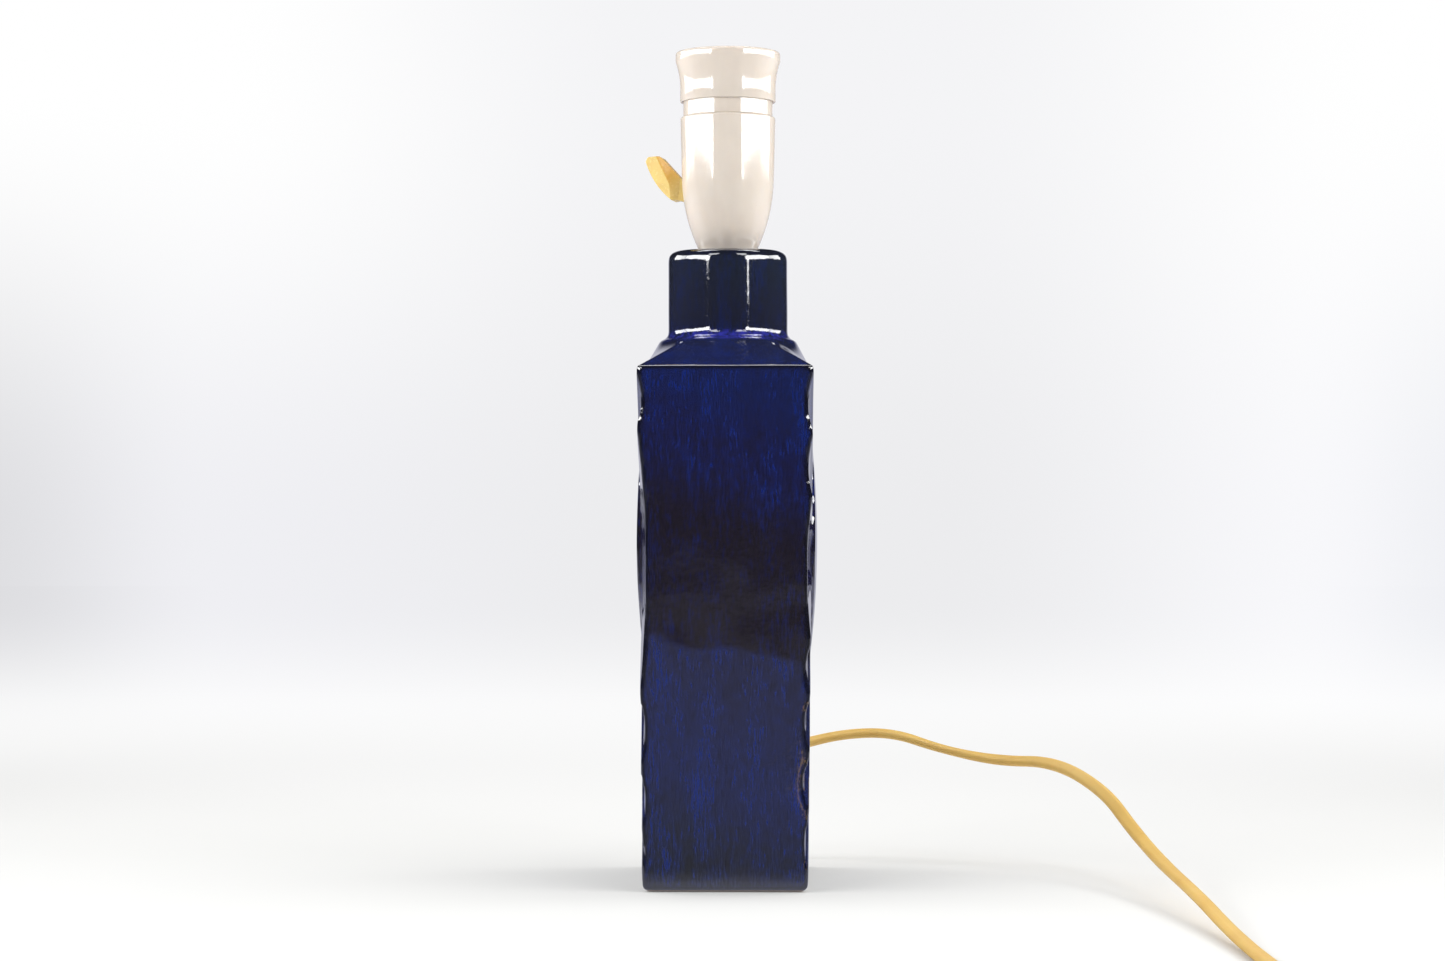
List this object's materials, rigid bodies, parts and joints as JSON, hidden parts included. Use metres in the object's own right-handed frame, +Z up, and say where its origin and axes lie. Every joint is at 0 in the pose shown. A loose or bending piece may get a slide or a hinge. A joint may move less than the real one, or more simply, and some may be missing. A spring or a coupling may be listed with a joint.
{
  "type": "table lamp",
  "caption": "Tall rectangular blue-glazed ceramic table lamp with relief sides, a bare E27 lampholder with toggle switch and flared shade ring, and a flat two-core cord with plug.",
  "frame": {"origin": "centre of the body's foot, on the surface it stands on", "axes": "+Z up; -Y is the plain narrow front; +X and -X are the broad relief faces; the cord leaves the +Y face"},
  "size_m": [0.2283, 0.5926, 0.347],
  "materials": {
    "blue_glaze": "streaked cobalt blue glaze, glossy",
    "cream_plastic": "moulded cream plastic, glossy",
    "yellowed_plastic": "yellowed moulded plastic",
    "cord_plastic": "yellowed soft plastic sheath",
    "white_insulator": "unglazed white insulator",
    "contact_brass": "dull brass",
    "plated_steel": "zinc plated",
    "bush_rubber": "soft moulded",
    "wire_insulation": "smooth"
  },
  "bodies": {
    "lamp": {"ceramic_body": "blue_glaze", "cord_bush": "bush_rubber", "entry_nipple": "plated_steel", "lower_washer": "plated_steel", "lock_nut": "plated_steel", "holder_cap": "cream_plastic", "nipple_grub_screw": "plated_steel", "holder_sleeve": "cream_plastic", "contact_block": "white_insulator", "insert_screws": "contact_brass", "lamp_thread_shell": "contact_brass", "shell_contact": "contact_brass", "centre_contact": "contact_brass", "terminal_blocks": "contact_brass", "terminal_screws": "plated_steel", "switch_pin": "plated_steel", "switch_contacts": "contact_brass", "detent_spring": "plated_steel", "inner_cord": "cord_plastic", "live_wire": "wire_insulation", "neutral_wire": "wire_insulation", "cord_run": "cord_plastic", "cord_coil": "cord_plastic", "cord_tail": "cord_plastic", "plug_body": "cord_plastic", "plug_pins": "contact_brass"},
    "lever": {"switch_lever": "yellowed_plastic", "switch_bridge": "contact_brass"},
    "ring": {"shade_ring": "cream_plastic"}
  },
  "joints": [
    {"name": "switch_toggle", "type": "hinge", "parent": "lamp", "child": "lever", "pos_m": [-0.0132, 0.00233, 0.286], "axis": [-0.1736, -0.9848, 0], "range_deg": [0, 50]},
    {"name": "ring_unscrew", "type": "slide", "parent": "lamp", "child": "ring", "axis": [0, 0, 1], "range_m": [-0.006, 0.0195]}
  ]
}
